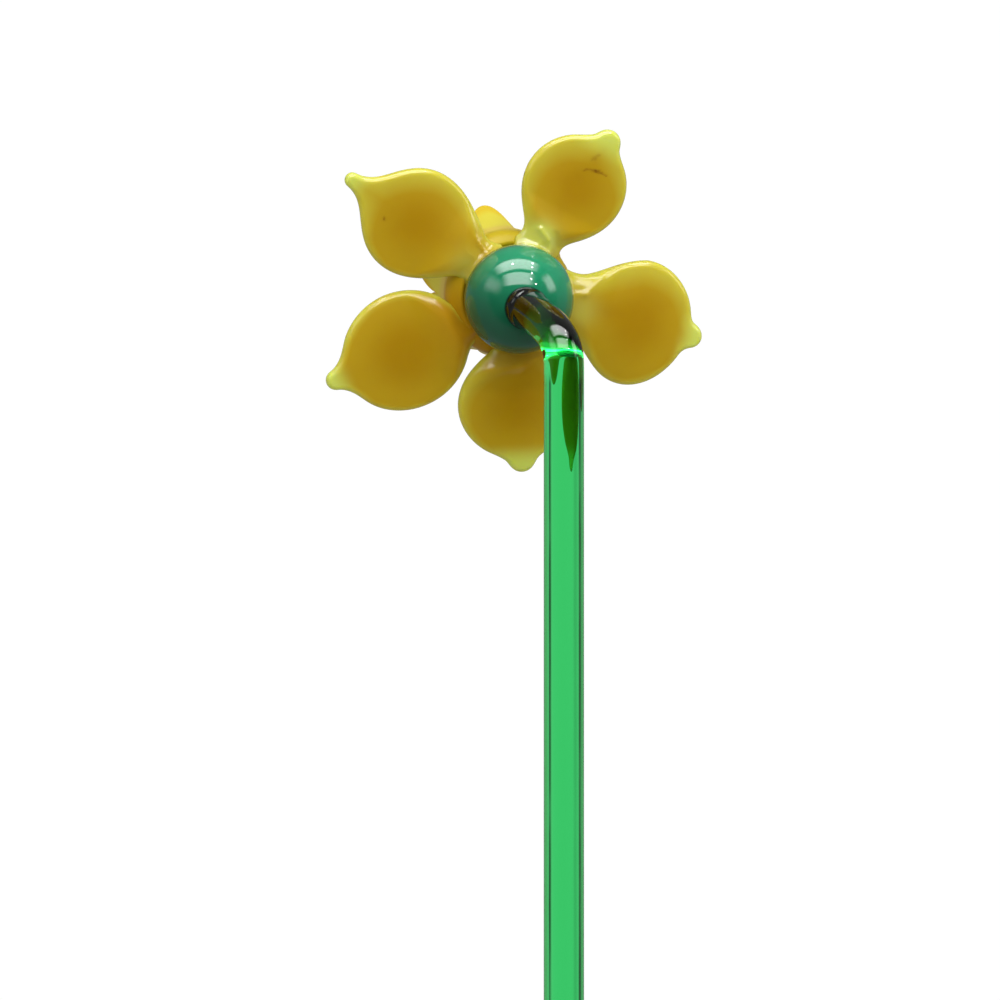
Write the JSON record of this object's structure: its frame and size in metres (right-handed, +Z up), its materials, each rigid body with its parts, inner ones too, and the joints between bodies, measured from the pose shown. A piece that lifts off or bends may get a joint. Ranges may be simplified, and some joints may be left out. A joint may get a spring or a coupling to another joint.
{
  "type": "glass daffodil flower",
  "caption": "Lamp-worked glass daffodil lying face down: a green ball with drawn-out yellow petals, a lobed yellow trumpet and a long clear green stem with a bent neck.",
  "frame": {"origin": "bottom centre of the bounding box, on the surface that the flower lies on", "axes": "+Z up, away from the surface; +Y along the flower's length towards its head, with the cut end of the stem at -Y; +X to the right of someone who looks down at the flower's back with the head away from them"},
  "size_m": [0.0684, 0.3054, 0.0469],
  "materials": {
    "stem_glass": "clear green glass rod, fire polished",
    "ball_glass": "dense green glass, glossy",
    "trumpet_glass": "amber to yellow glass, glossy, a little translucent",
    "petal_glass": "yellow to lime glass, glossy, translucent at the rims"
  },
  "bodies": {
    "root": {"stem": "stem_glass", "calyx_ball": "ball_glass", "corona": "trumpet_glass", "petal_1": "petal_glass", "petal_2": "petal_glass", "petal_3": "petal_glass", "petal_4": "petal_glass", "petal_5": "petal_glass"}
  },
  "joints": []
}
